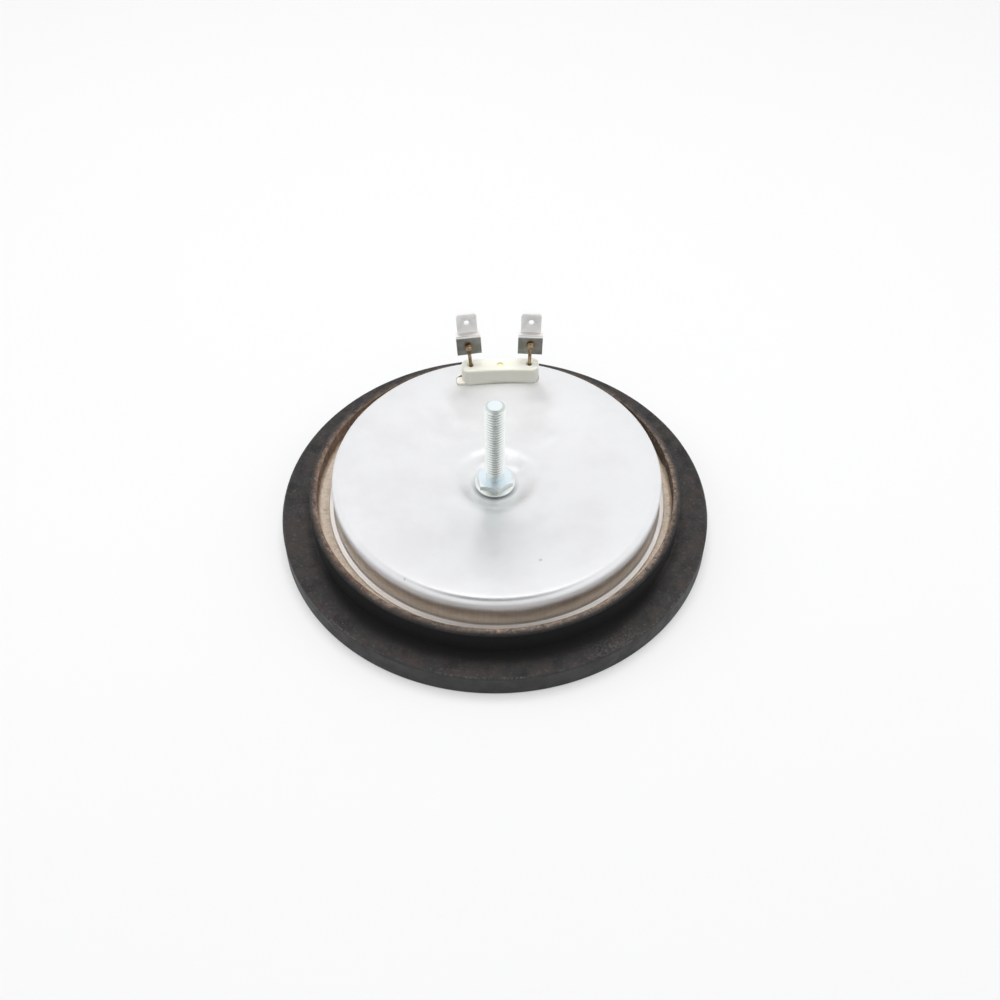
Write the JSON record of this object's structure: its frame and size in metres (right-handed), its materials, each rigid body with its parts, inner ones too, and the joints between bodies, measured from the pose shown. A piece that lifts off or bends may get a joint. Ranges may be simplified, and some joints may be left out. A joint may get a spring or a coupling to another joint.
{
  "type": "sealed hot plate element",
  "caption": "Round cast-iron hot plate element with a raised locating ring, drawn back cover, threaded fixing stud and ceramic terminal block with push-on tabs.",
  "frame": {"origin": "centre of the cooking face, which lies on the surface the element stands on", "axes": "+Z out of the back along the fixing stud; +Y from the centre towards the terminal block"},
  "size_m": [0.13, 0.13, 0.048],
  "materials": {
    "iron": "dark cast iron, fine-grained",
    "compound": "sandy fired ceramic compound",
    "resistance_wire": "oxidised",
    "lead_wire": "heat-tinted nickel",
    "ceramic": "white fired steatite",
    "cover": "satin aluminised sheet",
    "tab": "dull nickel plate",
    "stud": "bright blue zinc plate"
  },
  "bodies": {
    "root": {"cast_iron_plate": "iron", "insulating_compound": "compound", "heating_coil": "resistance_wire", "inner_coil_pin": "resistance_wire", "outer_coil_pin": "resistance_wire", "left_lead_wire": "lead_wire", "right_lead_wire": "lead_wire", "left_lead_beads": "ceramic", "right_lead_beads": "ceramic", "terminal_block": "ceramic", "left_terminal_tab": "tab", "right_terminal_tab": "tab", "cover_plate": "cover", "collar_stud": "stud"}
  },
  "joints": []
}
